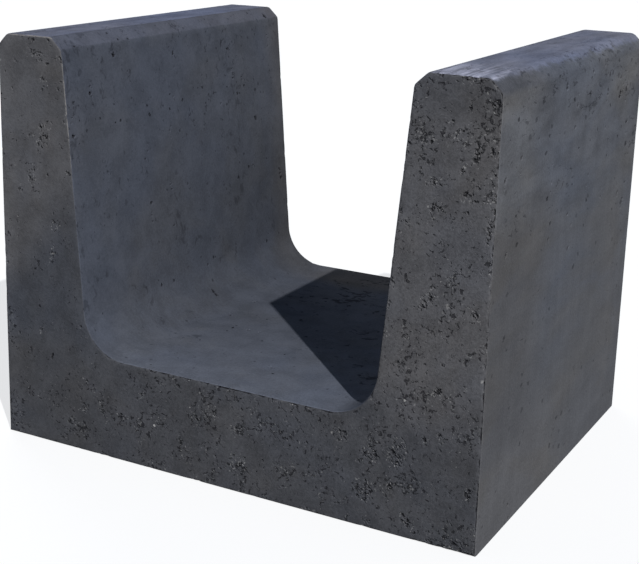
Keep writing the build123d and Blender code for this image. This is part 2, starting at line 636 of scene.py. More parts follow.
# Weights along the axes of the directions in which the end faces' pits are stretched
ON_END_FACE = (1.0, 0.0, 1.0)

CREASE = math.radians(20)


def leaf_masks(finest):
    """Which square cells are kept at each level, coarse ones first: a cell is kept if every fine cell in it
    allows that level, and is otherwise quartered."""
    masks = {}
    alive = np.ones([n // CELL for n in finest.shape], bool)
    for level in range(COARSEST, 0, -1):
        step = 2**level
        blocks = finest.reshape(finest.shape[0] // step, step, finest.shape[1] // step, step)
        kept = alive & (blocks.min(axis=(1, 3)) >= level)
        masks[level] = kept
        alive = (alive & ~kept).repeat(2, axis=0).repeat(2, axis=1)
    masks[0] = alive
    return masks


def perimeter(step):
    """Row and column offsets of the nodes round a square cell, starting at its first corner."""
    run = np.arange(step)
    zero, full = np.zeros(step, int), np.full(step, step)
    rows = np.concatenate([run, full, step - run, zero])
    columns = np.concatenate([zero, run, full, step - run])
    return rows, columns


def mark_corners(ids, masks, used):
    """Marks the corner nodes of every kept cell."""
    for level, mask in masks.items():
        step = 2**level
        row, column = (index * step for index in np.nonzero(mask))
        for down, right in itertools.product((0, step), repeat=2):
            used[ids[row + down, column + right]] = True


def cell_faces(ids, masks, used, skin_of_row):
    """Quads for plain cells, and for a cell with finer neighbours a fan of triangles from its middle node to
    each used node round it, so that no crack opens between cells of different sizes. Each has its skin."""
    quads, triangles, quad_skins, triangle_skins = [], [], [], []
    for level, mask in masks.items():
        step = 2**level
        row, column = (index * step for index in np.nonzero(mask))
        down, right = perimeter(step)
        ring = ids[row[:, None] + down, column[:, None] + right]
        shown = used[ring]
        count = shown.sum(1)
        plain = count == 4
        quads.append(ring[plain][:, ::step])
        quad_skins.append(skin_of_row[row[plain]])
        fan = ~plain
        middle = np.repeat(ids[row[fan] + step // 2, column[fan] + step // 2], count[fan])
        corner = ring[fan][shown[fan]]
        following = np.arange(1, len(corner) + 1)
        last = np.cumsum(count[fan])
        following[last - 1] = last - count[fan]
        triangles.append(np.column_stack([middle, corner, corner[following]]))
        triangle_skins.append(np.repeat(skin_of_row[row[fan]], count[fan]))
    return [np.concatenate(part) for part in (quads, triangles, quad_skins, triangle_skins)]


def finest_levels(relief_depth):
    """Largest cell allowed at each fine cell: the finest where the relief changes most, coarser by steps."""
    corners = np.stack([
        relief_depth[:-1, :-1], relief_depth[1:, :-1], relief_depth[:-1, 1:], relief_depth[1:, 1:]
    ])
    change = corners.max(0) - corners.min(0)
    return np.select([change > FINEST_CHANGE, change > NEXT_CHANGE], [0, 1], COARSEST)


def cap_levels(finest, where, level):
    """Allows no larger cells than that level at those places."""
    finest[where] = np.minimum(finest[where], level)


def mould_levels(rough, inward):
    """Levels of the mould faces: by their relief, smaller where the outline bends and along both ends."""
    finest = finest_levels(np.vstack([rough, rough[:1]]))
    bend = 1 - (np.roll(inward, -1, axis=0) * inward).sum(1)
    cap_levels(finest, bend > BENT, BENT_LEVEL)
    cap_levels(finest, bend > SHARPLY_BENT, RIM_LEVEL)
    for border in (np.s_[:, :RIM_STEPS], np.s_[:, -RIM_STEPS:]):
        cap_levels(finest, border, RIM_LEVEL)
    return finest


def end_levels(rough):
    """Levels of an end face: by its relief, and smaller along all four borders."""
    finest = finest_levels(rough)
    for border in (np.s_[:RIM_STEPS], np.s_[-RIM_STEPS:], np.s_[:, :RIM_STEPS], np.s_[:, -RIM_STEPS:]):
        cap_levels(finest, border, RIM_LEVEL)
    return finest


def mould_faces(grid, sizes, relief):
    """Nodes, values, levels and skins of the mould faces: the section's outline carried along the length. Air
    holes sink along the outline's normal, and the arris recedes along that and the end face's normal."""
    loop = rim(grid)
    inward = inward_normals(loop)
    half = sizes.depth / 2
    along = bordered_steps(sizes.depth, ALONG_STEPS) - half
    nodes = np.empty((len(loop), ALONG_STEPS + 1, 3))
    nodes[..., 0], nodes[..., 1], nodes[..., 2] = loop[:, :1], along, loop[:, 1:]
    into = np.zeros((len(loop), 1, 3))
    into[:, 0, [0, 2]] = inward
    pit = np.zeros(nodes.shape[:2])
    centre, radius = mould_face_pinholes(loop, grid.shape[0], relief, relief.seed + PINHOLE_SEED)
    lengthen = np.where(centre[:, :1] < grid.shape[0], 1.0, OUTER_STRETCH) * (0, 1, 0) + (1, 0, 1)
    shape_seed = relief.seed + PINHOLE_SHAPE_SEED
    sink_pits(nodes, pit, centre, radius, PINHOLE_STEEPNESS, lengthen, shape_seed, wraps=True)

    bite, plain, rub = np.zeros((3,) + pit.shape)
    gap = half - np.abs(along)
    for side in (-1, 1):
        near = (gap < ARRIS_REACH) & (np.sign(along) == side)
        crumbled, _, rubbed = arris_wear(nodes[:, near], side)
        bite[:, near] = arris_bite(nodes[:, near], gap[near], crumbled, sizes, relief)
        plain[:, near] = bevel(sizes.arris, gap[near])
        rub[:, near] = rubbed * plain[:, near]
    lengthwise = np.zeros((1, ALONG_STEPS + 1, 3))
    lengthwise[0, :, 1] = -np.sign(along)
    nodes = nodes + pit[..., None] * into + bite[..., None] * (into + lengthwise)

    skins = np.full(len(loop), MOULD_SKIN)
    skins[: grid.shape[0] - 1] = CHANNEL_SKIN
    values = {"pit": pit, "arris": bite, "rub": rub, "crumb": np.zeros_like(pit)}
    return nodes, values, mould_levels(pit + bite - plain, inward), skins


def border_gaps(grid):
    """Distance of each grid place from each of the four borders, and those borders' inward normals."""
    inward = inward_normals(rim(grid))
    last = grid.shape[0] - 1
    outer_first = last + ACROSS_STEPS
    down = np.array([[0.0, -1.0]])
    borders = (
        (grid[:, :1], inward[: last + 1, None]),
        (grid[:, -1:], inward[outer_first : outer_first + last + 1][::-1, None]),
        (grid[-1:], down),
        (grid[:1], down),
    )
    return [(np.abs(((grid - border) * normal).sum(-1)), normal) for border, normal in borders]


def end_pits(nodes, grid, nearest, crumbled, relief, side):
    """Depth of the marks in an end face, and how crumbly it is: grains lost from its patches and from a band
    along the crumbled arrises, and single pits."""
    share = crumbly_share(nodes, end_patches(grid, relief, side), relief.seed + PATCH_RIM_SEED + side)
    loose = lattice_noise(nodes, LOOSE_EDGE_SIZE, relief.seed + LOOSE_EDGE_SEED)
    worn = LOOSE_EDGE_WEAR * crumbled * (1 - nearest / relief.edge_band)
    share = np.maximum(share, worn + LOOSE_EDGE_NOISE * loose - LOOSE_EDGE_LIMIT)
    pit = np.zeros(grid.shape[:2])
    inside = share > 0
    pit[inside] = crumble(nodes[inside], share[inside], relief, relief.seed + CRUMB_SEED + side)
    rng = np.random.default_rng(relief.seed + PIT_SEED + side)
    centre = face_places(rng, grid, relief.single_pits)
    radius = spread_radii(rng, relief.single_pits, relief.pit_small, relief.pit_large)
    sink_pits(nodes, pit, centre, radius, PIT_STEEPNESS, ON_END_FACE, relief.seed + PIT_SHAPE_SEED + side)
    return pit, np.clip(share, 0.0, 1.0)


def end_face(grid, sizes, relief, side):
    """Nodes, values and levels of one end face: the ruled section grid, sunk by crumbly patches, pits and the
    groove beneath worn lips, with the arris receding along both normals."""
    nodes = np.empty(grid.shape[:2] + (3,))
    nodes[..., 0], nodes[..., 1], nodes[..., 2] = grid[..., 0], side * sizes.depth / 2, grid[..., 1]
    borders = border_gaps(grid)
    nearest = np.minimum.reduce([gap for gap, _ in borders])
    crumbled, grooved, rubbed = arris_wear(nodes, side)
    pit, crumb = end_pits(nodes, grid, nearest, crumbled, relief, side)
    bite, plain = np.zeros_like(pit), np.zeros_like(pit)
    move = np.zeros_like(nodes)
    for gap, normal in borders:
        near = gap < ARRIS_REACH
        recede = np.zeros_like(pit)
        recede[near] = arris_bite(nodes[near], gap[near], crumbled[near], sizes, relief)
        groove = lip_groove(nodes[near], gap[near], grooved[near], relief, relief.seed + GROOVE_SEED + side)
        pit[near] = np.maximum(pit[near], groove)
        plain = np.maximum(plain, bevel(sizes.arris, gap))
        wider = recede > bite
        move[wider] = (np.broadcast_to(normal, grid.shape) * recede[..., None])[wider][:, [0, 0, 1]]
        bite = np.maximum(bite, recede)
    move[..., 1] = -side * (bite + pit)

    values = {"pit": pit, "arris": bite, "rub": rubbed * plain, "crumb": crumb}
    return nodes + move, values, end_levels(pit + bite - plain)


def end_ids(grid_shape, mantle_ids, taken, side):
    """Node numbers of an end face: new ones inside, and the mould faces' own ones along its border."""
    last = grid_shape[0] - 1
    ids = taken + np.arange(grid_shape[0] * grid_shape[1]).reshape(grid_shape)
    border = mantle_ids[:-1, 0 if side < 0 else -1]
    ids[:-1, 0] = border[:last]
    ids[-1, :-1] = border[last : last + ACROSS_STEPS]
    ids[:0:-1, -1] = border[last + ACROSS_STEPS : 2 * last + ACROSS_STEPS]
    ids[0, :0:-1] = border[2 * last + ACROSS_STEPS :]
    return ids


def graded_faces(patches, node_count):
    """Quads, triangles and skins of all faces: each patch's cells, over the nodes that any patch uses."""
    used = np.zeros(node_count, bool)
    for ids, masks, _, _ in patches:
        mark_corners(ids, masks, used)
    parts = []
    for ids, masks, skins, flipped in patches:
        quads, triangles, quad_skins, triangle_skins = cell_faces(ids, masks, used, skins)
        turn = -1 if flipped else 1
        parts.append((quads[:, ::turn], triangles[:, ::turn], quad_skins, triangle_skins))
    quads, triangles, *skins = (np.concatenate(part) for part in zip(*parts))
    return quads, triangles, np.concatenate(skins)


def casting_surface(sizes, relief):
    """Nodes, quads, triangles, skins and node values of the whole casting: the mould faces and both end
    faces, graded to their relief and joined along shared nodes."""
    grid = section_grid(sizes)
    nodes, values, finest, skins = mould_faces(grid, sizes, relief)
    mantle_ids = np.arange(nodes.shape[0] * nodes.shape[1]).reshape(nodes.shape[:2])
    mantle_ids = np.vstack([mantle_ids, mantle_ids[:1]])
    all_nodes = [nodes.reshape(-1, 3)]
    all_values = [values]
    patches = [(mantle_ids, leaf_masks(finest), skins, False)]
    taken = len(all_nodes[0])
    for side in (-1, 1):
        nodes, values, finest = end_face(grid, sizes, relief, side)
        ids = end_ids(grid.shape[:2], mantle_ids, taken, side)
        patches.append((ids, leaf_masks(finest), np.full(grid.shape[0], END_SKIN), side < 0))
        all_nodes.append(nodes.reshape(-1, 3))
        all_values.append(values)
        taken += ids.size

    quads, triangles, skins = graded_faces(patches, taken)
    kept, new = np.unique(np.concatenate([quads.ravel(), triangles.ravel()]), return_inverse=True)
    values = {
        key: np.concatenate([part[key].ravel() for part in all_values])[kept] for key in all_values[0]
    }
    return (
        np.vstack(all_nodes)[kept],
        new[: quads.size].reshape(-1, 4),
        new[quads.size :].reshape(-1, 3),
        skins,
        values,
    )


def casting_mesh(name, nodes, quads, triangles, skins, values):
    """A mesh from whole arrays, shaded smooth except over creases."""
    mesh = bpy.data.meshes.new(name)
    corners = np.concatenate([quads.ravel(), triangles.ravel()]).astype(np.int32)
    starts = np.concatenate([np.arange(len(quads)) * 4, quads.size + np.arange(len(triangles)) * 3])
    mesh.vertices.add(len(nodes))
    mesh.vertices.foreach_set("co", nodes.astype(np.float32).ravel())
    mesh.loops.add(len(corners))
    mesh.loops.foreach_set("vertex_index", corners)
    mesh.polygons.add(len(starts))
    mesh.polygons.foreach_set("loop_start", starts.astype(np.int32))
    mesh.polygons.foreach_set("material_index", skins.astype(np.int32))
    mesh.update(calc_edges=True)
    for key, value in values.items():
        layer = mesh.attributes.new(key, "FLOAT", "POINT")
        layer.data.foreach_set("value", value.astype(np.float32))
    mesh.shade_smooth()
    mesh.set_sharp_from_angle(angle=CREASE)
    if mesh.validate():
        raise RuntimeError("the casting's mesh had faults")
    return mesh


# Materials

WHITE = (1.0, 1.0, 1.0, 1.0)


def add_node(tree, kind, settings=None, **inputs):
    """A node with its settings, and inputs that are values or links from other sockets."""
    node = tree.nodes.new(kind)
    for key, value in (settings or {}).items():
        setattr(node, key, value)
    for key, value in inputs.items():
        socket = node.inputs[int(key[1:])] if key[0] == "_" else node.inputs[key.replace("_", " ")]
        if isinstance(value, bpy.types.NodeSocket):
            tree.links.new(value, socket)
        else:
            socket.default_value = value
    return node


def tree_of(*values):
    """The node tree of the first socket among the values."""
    return next(value.id_data for value in values if isinstance(value, bpy.types.NodeSocket))


def maths(operation, first, second, clamp=False):
    """A Math node's result."""
    settings = {"operation": operation, "use_clamp": clamp}
    return add_node(tree_of(first, second), "ShaderNodeMath", settings, _0=first, _1=second).outputs[0]


def product(first, *others):
    """The product of values."""
    result = first
    for value in others:
        result = maths("MULTIPLY", result, value)
    return result


def total(*terms, start=0.0):
    """A start value plus the sum of values, each times its weight."""
    result = start
    for value, weight in terms:
        result = maths("ADD", result, product(value, weight))
    return result


def opposite(mask):
    """1 less a mask."""
    return maths("SUBTRACT", 1.0, mask)


def off_middle(value):
    """How far a value lies from one half."""
    return maths("SUBTRACT", value, 0.5)


def remap(value, low, high, to_low=0.0, to_high=1.0, smooth=True):
    """A clamped step from low to high, smooth or even."""
    return add_node(
        value.id_data, "ShaderNodeMapRange", {"interpolation_type": "SMOOTHSTEP" if smooth else "LINEAR"},
        Value=value, From_Min=low, From_Max=high, To_Min=to_low, To_Max=to_high,
    ).outputs[0]


def blend_colours(share, first, second, mode="MIX"):
    """A colour between two, by that share."""
    tree = tree_of(share, first, second)
    settings = {"data_type": "RGBA", "blend_type": mode}
    return add_node(tree, "ShaderNodeMix", settings, _0=share, _6=first, _7=second).outputs[2]


def noise(vector, scale, detail, roughness, distortion=0.0):
    """Fractal noise around one half."""
    return add_node(
        vector.id_data, "ShaderNodeTexNoise",
        Vector=vector, Scale=scale, Detail=detail, Roughness=roughness, Distortion=distortion,
    ).outputs[0]


def stretched(vector, scale):
    """Coordinates scaled by their own amount along each axis."""
    return add_node(vector.id_data, "ShaderNodeMapping", Vector=vector, Scale=scale).outputs[0]


def split(vector):
    """The three coordinates of a place."""
    return add_node(vector.id_data, "ShaderNodeSeparateXYZ", Vector=vector).outputs


def attribute(tree, name):
    """One of the casting's own node values."""
    return add_node(tree, "ShaderNodeAttribute", {"attribute_name": name}).outputs["Fac"]


def new_group(name, outputs, **inputs):
    """A shader node group with a Vector, value inputs by their defaults and value outputs: its tree, and the
    sockets that its inputs come from and that its outputs go to."""
    tree = bpy.data.node_groups.new(name, "ShaderNodeTree")
    tree.interface.new_socket("Vector", in_out="INPUT", socket_type="NodeSocketVector")
    for label, default in inputs.items():
        socket = tree.interface.new_socket(label, in_out="INPUT", socket_type="NodeSocketFloat")
        socket.default_value = default
    for label in outputs:
        tree.interface.new_socket(label, in_out="OUTPUT", socket_type="NodeSocketFloat")
    return tree, tree.nodes.new("NodeGroupInput").outputs, tree.nodes.new("NodeGroupOutput").inputs


def join(sockets, **values):
    """Links values to the sockets of those names, where _ stands for a space."""
    for label, value in values.items():
        value.id_data.links.new(value, sockets[label.replace("_", " ")])


def cloud_group():
    """Slow stains in the cement skin: a cool mask, a warm mask and a light-to-dark value."""
    tree, given, result = new_group("CementClouds", ("Cool", "Warm", "Shade"), Scale=9.0)
    where, scale = given["Vector"], given["Scale"]
    cool = noise(where, scale, 4.0, 0.5, 0.5)
    warm = noise(where, product(scale, 1.37), 4.0, 0.5, 0.7)
    shade = noise(where, product(scale, 4.3), 6.0, 0.62, 0.3)
    join(result, Cool=remap(cool, 0.42, 0.64), Warm=remap(warm, 0.44, 0.66), Shade=shade)
    return tree


def grain_group():
    """Sand and cement grain: a height and a light-to-dark value."""
    tree, given, result = new_group("SandGrain", ("Height", "Shade"), Scale=420.0)
    where, scale = given["Vector"], given["Scale"]
    coarse = noise(where, scale, 3.0, 0.6)
    fine = noise(where, product(scale, 2.6), 2.0, 0.6)
    join(result, Height=total((coarse, 0.65), (fine, 0.35)), Shade=total((coarse, 0.5), (fine, 0.5)))
    return tree


def spot_group():
    """Shallow crumbs too small to model: ragged spots where fractal noise is high, thicker in drifts, the
    pale grains among them, and pale grains everywhere for where the casting is loose."""
    tree, given, result = new_group("CrumbSpots", ("Spot", "Fleck", "Loose"), Scale=330.0, Amount=0.0)
    where, scale = given["Vector"], given["Scale"]
    ragged = noise(where, scale, 3.0, 0.62, 0.6)
    pale = noise(where, product(scale, 2.2), 2.0, 0.5, 0.4)
    drift = noise(where, product(scale, 0.15), 3.0, 0.55)
    lift = total((drift, 0.6), (given["Amount"], 1.0))
    spot = remap(maths("ADD", ragged, lift), 0.90, 1.01)
    fleck = remap(maths("ADD", pale, lift), 1.01, 1.09)
    join(result, Spot=spot, Fleck=fleck, Loose=remap(pale, 0.60, 0.69))
    return tree


def pore_group():
    """Pores too small to model: in a share of cells, a ragged hole of random size and darkness, as a mask."""
    tree, given, result = new_group("FinePores", ("Pore",), Scale=150.0, Share=0.2)
    where, scale = given["Vector"], given["Scale"]
    cells = add_node(tree, "ShaderNodeTexVoronoi", Vector=where, Scale=scale).outputs
    chance, size, darkness = add_node(tree, "ShaderNodeSeparateColor", Color=cells["Color"]).outputs
    uneven = off_middle(noise(where, product(scale, 3.5), 2.0, 0.6))
    radius = remap(size, 0.0, 1.0, 0.08, 0.22)
    hole = total((radius, 1.0), (cells["Distance"], -1.0), (uneven, 0.5))
    dark = product(maths("LESS_THAN", chance, given["Share"]), remap(darkness, 0.0, 1.0, 0.45, 1.0))
    join(result, Pore=product(dark, remap(hole, -0.03, 0.05)))
    return tree


def wear_group():
    """Marks that follow the relief: dark in pits, partly dirt and partly painted shade, a rubbed line on the
    arris, more whole higher up, and pale grains where it crumbles."""
    tree, given, result = new_group("ReliefMarks", ("Pit", "Rubbed", "Grain"), Fleck=0.0)
    pit, arris, rub, crumb = (attribute(tree, name) for name in ("pit", "arris", "rub", "crumb"))
    sunk = remap(pit, 0.15 * MM, 1.5 * MM)
    bitten = remap(arris, 0.72 * MM, 1.1 * MM)
    broken = noise(given["Vector"], 70.0, 3.0, 0.6)
    height = split(given["Vector"])["Z"]
    unbroken = remap(total((broken, 1.0), (height, 0.8)), 0.66, 0.86)
    rubbed = product(remap(rub, 0.40 * MM, 0.66 * MM), unbroken, opposite(bitten))
    rough = maths("MAXIMUM", remap(crumb, 0.02, 0.25), product(bitten, 0.35))
    join(result, Pit=sunk, Rubbed=rubbed, Grain=product(rough, opposite(sunk), given["Fleck"]))
    return tree


def new_material(name):
    """An empty node material with a Principled BSDF."""
    material = bpy.data.materials.new(name)
    material.use_nodes = True
    tree = material.node_tree
    tree.nodes.clear()
    shader = add_node(tree, "ShaderNodeBsdfPrincipled")
    add_node(tree, "ShaderNodeOutputMaterial", Surface=shader.outputs[0])
    return material, tree, shader


def rgba(value):
    """A colour property as a shader colour."""
    return (*value, 1.0)


class Skin:
    """A concrete skin in the making: its material, the places on the block and the colour so far."""

    def __init__(self, name, base, colours, groups, shine=0.0):
        self.material, self.tree, self.shader = new_material(name)
        self.shader.inputs["Specular IOR Level"].default_value = shine
        self.colours = colours
        self.groups = groups
        self.base = rgba(base)
        self.where = add_node(self.tree, "ShaderNodeTexCoord").outputs["Object"]
        self.x, self.y, self.z = split(self.where)

    def put(self, group, vector=None, **inputs):
        """The outputs of a shared group, placed on the block's coordinates unless others are given."""
        where = self.where if vector is None else vector
        settings = {"node_tree": self.groups[group]}
        return add_node(self.tree, "ShaderNodeGroup", settings, Vector=where, **inputs).outputs

    def gain(self, value):
        """Multiplies the colour by a value."""
        self.base = blend_colours(1.0, self.base, value, "MULTIPLY")

    def tint(self, value, share):
        """Multiplies the colour by a tint, by that share."""
        self.base = blend_colours(share, self.base, rgba(value), "MULTIPLY")

    def cover(self, value, share):
        """Lays another colour over the colour, by that share."""
        self.base = blend_colours(share, self.base, rgba(value))

    def stain(self, clouds, cool, warm):
        """Tints the colour with the cool and the warm clouds, each by its share."""
        self.tint(self.colours.cool_tint, product(clouds["Cool"], cool))
        self.tint(self.colours.warm_tint, product(clouds["Warm"], warm))

    def mark(self, fleck):
        """Makes the pits dark, partly with painted shade, the arris rubbed and the loose grains pale."""
        marks = self.put("marks", Fleck=fleck)
        # Dark pit bottoms: partly painted shade
        self.cover(self.colours.pit, product(marks["Pit"], 0.85))
        self.cover(self.colours.worn_edge, product(marks["Rubbed"], 0.75))
        self.cover(self.colours.fleck, product(marks["Grain"], 0.55))

    def finish(self, height, bump_depth, roughness):
        """Joins the colour, the roughness and the fine bump to the shader, and gives the material."""
        bump = add_node(self.tree, "ShaderNodeBump", Strength=0.8, Distance=bump_depth, Height=height)
        join(self.shader.inputs, Base_Color=self.base, Roughness=roughness, Normal=bump.outputs[0])
        return self.material


def outer_side_stains_and_shade(skin, colours):
    """Outer sides: a cool stain in the middle, painted shade halfway up near the front and a paler foot."""
    y, z = skin.y, skin.z
    across = product(remap(y, -0.11, -0.04), remap(y, 0.16, 0.09))
    skin.tint(colours.cool_tint, product(across, remap(z, 0.06, 0.14, 0.0, 0.4)))
    # Painted shade halfway up near the front
    front = remap(y, -0.04, -0.15)
    halfway = product(remap(z, 0.31, 0.26), remap(z, 0.05, 0.11))
    skin.tint(colours.halfway_shade_tint, product(front, halfway))
    # Paler, warmer foot near the front
    skin.tint(colours.paler_foot_tint, product(remap(z, 0.11, 0.04), remap(y, 0.06, -0.10)))


def leg_top_stains_and_sheen(skin, colours, sizes):
    """Stains and painted sheen round the leg tops: bleached skin below the chamfers, darker chamfers, and
    blue tops with brushed streaks, partly pale skin and partly painted sky sheen."""
    x, y, z = skin.x, skin.y, skin.z
    spill = noise(skin.where, 60.0, 3.0, 0.6)
    top_line = total((z, 1.0), (spill, 0.012), (y, 0.012))
    top = remap(top_line, sizes.height - 0.0005, sizes.height + 0.0045)
    foot = sizes.height - sizes.chamfer
    chamfer = remap(total((z, 1.0), (spill, 0.006)), foot - 0.003, foot + 0.005)
    front_end = product(remap(y, -0.10, -0.14), remap(z, 0.26, 0.31))
    back_end = product(remap(y, 0.07, 0.15), remap(z, 0.32, 0.37))
    ends = maths("MAXIMUM", front_end, back_end)
    skin.tint(colours.bleached_tint, maths("SUBTRACT", ends, chamfer, clamp=True))
    # Darker outer chamfers, more so towards the front
    skin.tint(colours.darker_tint, product(chamfer, opposite(top), remap(y, 0.05, -0.19)))
    # Paler, bluer tops: partly pale skin, partly painted sky sheen, spilling unevenly over the chamfers'
    # heads
    skin.tint(colours.top_and_sheen_tint, top)
    # Darker left leg top
    skin.tint(colours.darker_tint, product(top, remap(x, 0.0, -0.1, 0.0, 0.55)))
    # Pale streaks on the tops, partly painted sheen, strongest near the right leg's front end
    brushed = noise(stretched(skin.where, (130.0, 9.0, 9.0)), 1.0, 4.0, 0.65, 0.4)
    near_front = product(remap(y, -0.11, -0.18), remap(x, 0.0, 0.1))
    streaks = product(maths("ADD", near_front, 0.08), remap(brushed, 0.38, 0.62))
    skin.cover(colours.bloom_and_sheen, product(top, streaks))


def mould_face_material(colours, groups, sizes):
    """Smooth outer skin: clouded grey with upright run marks, fine pores, and blue tops with pale streaks,
    partly painted sheen.
    """
    skin = Skin("mould_face_concrete", colours.mould_face, colours, groups)
    z = skin.z
    lengthwise = stretched(skin.where, (1.0, 0.36, 0.9))
    clouds = skin.put("clouds", lengthwise, Scale=11.0)
    grain = skin.put("grain", Scale=420.0)
    amount = maths("SUBTRACT", remap(z, 0.10, 0.38, 0.03, 0.14), 0.165)
    spots = skin.put("spots", lengthwise, Scale=230.0, Amount=amount)
    drawn_out = stretched(skin.where, (1.0, 0.85, 1.1))
    pores = skin.put("pores", drawn_out, Scale=80.0, Share=remap(z, 0.10, 0.38, 0.11, 0.42))["Pore"]
    skin.stain(clouds, remap(z, 0.08, 0.22, 0.12, 0.7), 0.5)
    outer_side_stains_and_shade(skin, colours)
    leg_top_stains_and_sheen(skin, colours, sizes)
    runs = noise(stretched(skin.where, (95.0, 95.0, 8.0)), 1.0, 4.0, 0.6)
    cloudy = remap(z, 0.20, 0.36, 0.16, 0.42)
    shade = total(
        (off_middle(clouds["Shade"]), cloudy), (off_middle(runs), 0.08), (off_middle(grain["Shade"]), 0.42)
    )
    skin.gain(remap(shade, -0.14, 0.14, 0.70, 1.30))
    # Dark spots and pores: painted shade in holes too small to model
    skin.cover(colours.pit, product(spots["Spot"], 0.4))
    skin.cover(colours.pit, product(pores, remap(z, 0.10, 0.30, 0.42, 0.65)))
    skin.mark(spots["Loose"])
    height = total((pores, -0.4), (spots["Spot"], -0.6), (grain["Height"], 0.6))
    return skin.finish(height, 0.6 * MM, remap(clouds["Shade"], 0.3, 0.7, 0.66, 0.80))


def channel_light(skin, rise):
    """Painted light and shade in the channel: a floor painted paler than the fillet and walls, for the light
    it faces, paler towards its front, and walls that darken towards the back and low down."""
    # Painted light: the floor paler than the fillet and the walls
    skin.gain(remap(maths("SQRT", rise, 0.0), -0.1, 0.45, 1.36, 0.96))
    along = remap(skin.y, -0.17, 0.16, smooth=False)
    low = remap(skin.z, 0.32, 0.20)
    wall = total((along, -0.10), (product(along, low), -0.30), start=1.14)
    floor = remap(skin.y, -0.19, -0.03, 1.17, 0.84, smooth=False)
    skin.gain(blend_colours(rise, floor, wall))


def channel_back_stains_and_bounce(skin, colours, flat, right):
    """Brown stain at the channel's back, with painted warm bounce light over the floor's right, in the key
    light's shadow, and darker on the floor's left.
    """
    back = remap(total((skin.y, 1.0), (flat, 0.03)), 0.150, 0.195)
    skin.tint(colours.back_stain_and_bounce_tint, back)
    far = product(back, flat)
    far_right = product(far, right)
    # Painted warm bounce light in the key light's shadow at the floor's right back
    skin.tint(colours.back_stain_and_bounce_tint, far_right)
    # Darker back left of the floor
    skin.tint(colours.damp_and_shade_tint, product(maths("SUBTRACT", far, far_right), 0.3))


def channel_smudges_and_shade(skin, colours, rise, flat, right):
    """Dark smudges, partly painted shadow: dense in the right back corner of the floor, where the key light's
    shadow falls, and faint on the walls near the front.
    """
    # Smudges gather inside the key light's shadow on the floor: partly painted shadow
    corner = product(remap(maths("ADD", skin.x, skin.y), -0.09, 0.0), right)
    near_front = remap(skin.y, -0.06, -0.16, -0.03, 0.005)
    amount = total((remap(corner, 0.0, 1.0, -0.11, 0.04), flat), (near_front, rise))
    smudges = skin.put("spots", stretched(skin.where, (0.8, 1.0, 0.8)), Scale=115.0, Amount=amount)
    skin.cover(colours.pit, product(smudges["Spot"], remap(corner, 0.0, 1.0, 0.35, 0.65)))


def channel_material(colours, groups, sizes):
    """Darker bluish skin inside the channel: soft mottling and fine pores, with painted light and shade."""
    skin = Skin("channel_concrete", colours.channel_face, colours, groups)
    clouds = skin.put("clouds", Scale=9.0)
    grain = skin.put("grain", Scale=380.0)
    upright = stretched(skin.where, (1.0, 1.0, 0.7))
    spots = skin.put("spots", upright, Scale=240.0, Amount=remap(skin.z, 0.14, 0.36, -0.10, -0.03))
    pores = skin.put("pores", Scale=130.0, Share=0.12)["Pore"]
    skin.stain(clouds, 0.35, 0.4)
    shade = total((clouds["Shade"], 0.45), (grain["Shade"], 0.55))
    skin.gain(remap(shade, 0.36, 0.64, 0.82, 1.18))
    rise = remap(skin.z, sizes.base, sizes.base + sizes.fillet, smooth=False)
    flat = opposite(rise)
    # The floor's right, where the key light's shadow falls
    right = remap(skin.x, -0.11, -0.06)
    channel_light(skin, rise)
    channel_back_stains_and_bounce(skin, colours, flat, right)
    foot = sizes.height - sizes.chamfer
    # Painted light on the channel's chamfers
    skin.tint(colours.chamfer_light_tint, remap(skin.z, foot - 0.0015, foot + 0.0015))
    channel_smudges_and_shade(skin, colours, rise, flat, right)
    # Dark spots and pores: painted shade in holes too small to model
    skin.cover(colours.pit, product(spots["Spot"], 0.45))
    skin.cover(colours.pit, product(pores, 0.85))
    skin.mark(spots["Loose"])
    height = total((pores, -1.0), (spots["Spot"], -0.6), (grain["Height"], 0.6))
    return skin.finish(height, 0.6 * MM, remap(clouds["Shade"], 0.3, 0.7, 0.70, 0.84))


def end_face_stains_and_shade(skin, colours):
    """Stains and painted shade of the end faces: a darker foot, partly damp and partly painted shade, higher
    on the left leg and lower on the right, cool on the left leg, a darker right head, and a left leg painted
    darker, as painted shade, but pale at its outer edge."""
    x, z = skin.x, skin.z
    # The darker foot reaches higher on the left leg and lower on the right: painted shade
    on_left = remap(x, -0.25, -0.155, -0.008, -0.105, smooth=False)
    on_right = remap(x, 0.10, 0.16, 0.0, 0.158)
    uneven = noise(skin.where, 9.0, 3.0, 0.5)
    lean = total((z, 1.0), (on_left, 1.0), (on_right, 1.0), (uneven, 0.12))
    damp = remap(lean, 0.255, 0.19)
    skin.tint(colours.damp_and_shade_tint, damp)
    left_leg = product(remap(x, -0.12, -0.16), remap(z, 0.09, 0.13, 0.0, 0.55))
    skin.tint(colours.cool_tint, product(damp, left_leg))
    # Darker right head
    skin.tint(colours.damp_and_shade_tint, product(remap(x, 0.10, 0.15), remap(z, 0.35, 0.385), 0.5))
    # Painted shade: the left leg darker, with a paler strip at its outer edge
    outer_edge = remap(x, -0.245, -0.225, 1.07, 0.955)
    inner_part = remap(x, -0.155, -0.12, 1.0, 1.047)
    skin.gain(product(outer_edge, inner_part))


